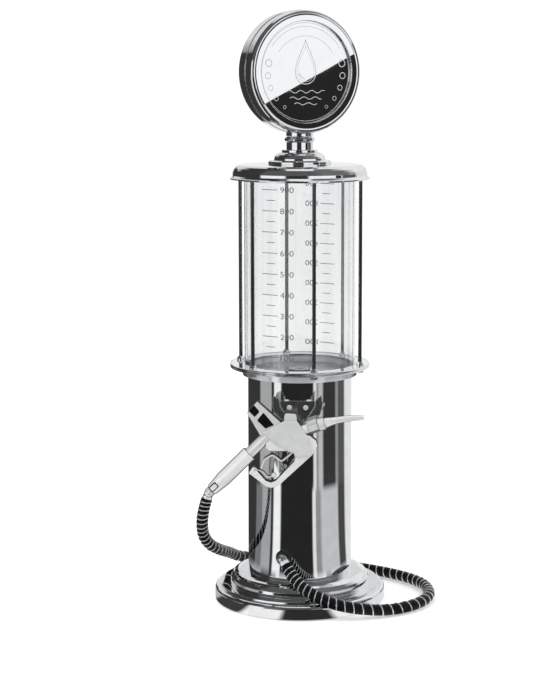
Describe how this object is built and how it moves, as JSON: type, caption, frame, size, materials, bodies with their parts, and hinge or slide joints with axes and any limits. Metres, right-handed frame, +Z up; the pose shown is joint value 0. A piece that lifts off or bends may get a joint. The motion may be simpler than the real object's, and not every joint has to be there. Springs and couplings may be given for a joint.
{
  "type": "tabletop drink dispenser shaped like an old filling pump",
  "caption": "Tabletop drink dispenser shaped like an old filling pump: clear tank in tie rods on a chrome column, round sign on top, spring-wound hose and a trigger nozzle on a hook.",
  "frame": {"origin": "on the column's axis, on the surface that the rubber ring stands on", "axes": "+Z up along the column's axis; the hose inlet is on the -Y side, which is the front; +X to the right seen from the front"},
  "size_m": [0.1868, 0.1724, 0.48],
  "materials": {
    "chrome": "mirror chrome plating",
    "steel": "plain machined steel",
    "satin": "satin nickel-plated casting",
    "brass": "turned, unpolished",
    "black_rubber": "matt black moulded rubber",
    "black_hose": "black extruded hose, slightly glossy",
    "black_plastic": "moulded, fine texture",
    "silicone": "translucent food-grade tube",
    "clear_tank": "clear cast tube, polished",
    "sign_face": "polished mirror disc, etched"
  },
  "bodies": {
    "root": {"base_shell": "chrome", "base_plate": "black_plastic", "rubber_ring": "black_rubber", "base_plate_screws": "steel", "column_foot_ring": "steel", "column_screws": "steel", "column_tube": "chrome", "column_collar": "chrome", "gallery_flange": "chrome", "tie_rods": "chrome", "rod_feet": "chrome", "rod_nuts": "steel", "tank_cylinder": "clear_tank", "tank_floor": "steel", "lower_gasket": "black_rubber", "upper_gasket": "black_rubber", "tank_top_ring": "chrome", "outlet_fitting": "brass", "outlet_nut": "brass", "inner_tube": "silicone", "tube_clamps": "steel", "inlet_grommet": "black_rubber", "inlet_elbow": "chrome", "lower_ferrule": "chrome", "hose_tube": "black_hose", "hose_spring": "chrome", "holder_bracket": "chrome", "holder_screws": "steel"},
    "lid": {"lid_shell": "chrome", "lid_gasket": "black_rubber", "finial_base": "chrome", "finial_nut": "steel", "sign_neck": "chrome"},
    "sign": {"sign_socket": "chrome", "sign_stem": "steel", "stem_nut": "steel", "sign_front_shell": "chrome", "sign_rear_shell": "chrome", "sign_band": "chrome", "sign_faces": "sign_face", "sign_spacer": "black_plastic"},
    "nozzle": {"nozzle_body": "satin", "side_covers": "satin", "body_cap": "chrome", "hook_frame": "chrome", "hanging_stud": "steel", "handle_neck": "chrome", "grip_sleeve": "satin", "swivel_nut": "chrome", "upper_ferrule": "chrome", "spout_nut": "chrome", "spout_ring": "chrome", "spout": "chrome", "valve_seat": "black_rubber", "valve_spring": "steel", "trigger_pin": "steel", "latch_pin": "steel"},
    "trigger": {"trigger": "chrome"},
    "valve_stem": {"valve_stem": "steel"},
    "hold_open_latch": {"hold_open_latch": "chrome"}
  },
  "joints": [
    {"name": "lid_lift", "type": "slide", "parent": "root", "child": "lid", "axis": [0, 0, 1], "range_m": [0, 0.025]},
    {"name": "sign_swivel", "type": "hinge", "parent": "lid", "child": "sign", "pos_m": [0, 0, 0.4309], "axis": [0, 0, 1], "continuous": true},
    {"name": "nozzle_lift", "type": "slide", "parent": "root", "child": "nozzle", "axis": [0, 0, 1], "range_m": [0, 0.02]},
    {"name": "trigger_pull", "type": "hinge", "parent": "nozzle", "child": "trigger", "pos_m": [0.01312, -0.05446, 0.13649], "axis": [-0.2588, 0.9659, 0], "range_deg": [0, 7], "stiffness_Nm_per_rad": 0.4, "springref_deg": -8.59},
    {"name": "valve_lift", "type": "slide", "parent": "nozzle", "child": "valve_stem", "axis": [0, 0, 1], "range_m": [0, 0.0012], "deforming": ["valve_spring"]},
    {"name": "latch_swing", "type": "hinge", "parent": "nozzle", "child": "hold_open_latch", "pos_m": [-0.01736, -0.06263, 0.12001], "axis": [0.2588, -0.9659, 0], "range_deg": [0, 8]}
  ],
  "couplings": [
    {"joint": "valve_lift", "follows": "trigger_pull", "m_per_rad": 0.009}
  ]
}
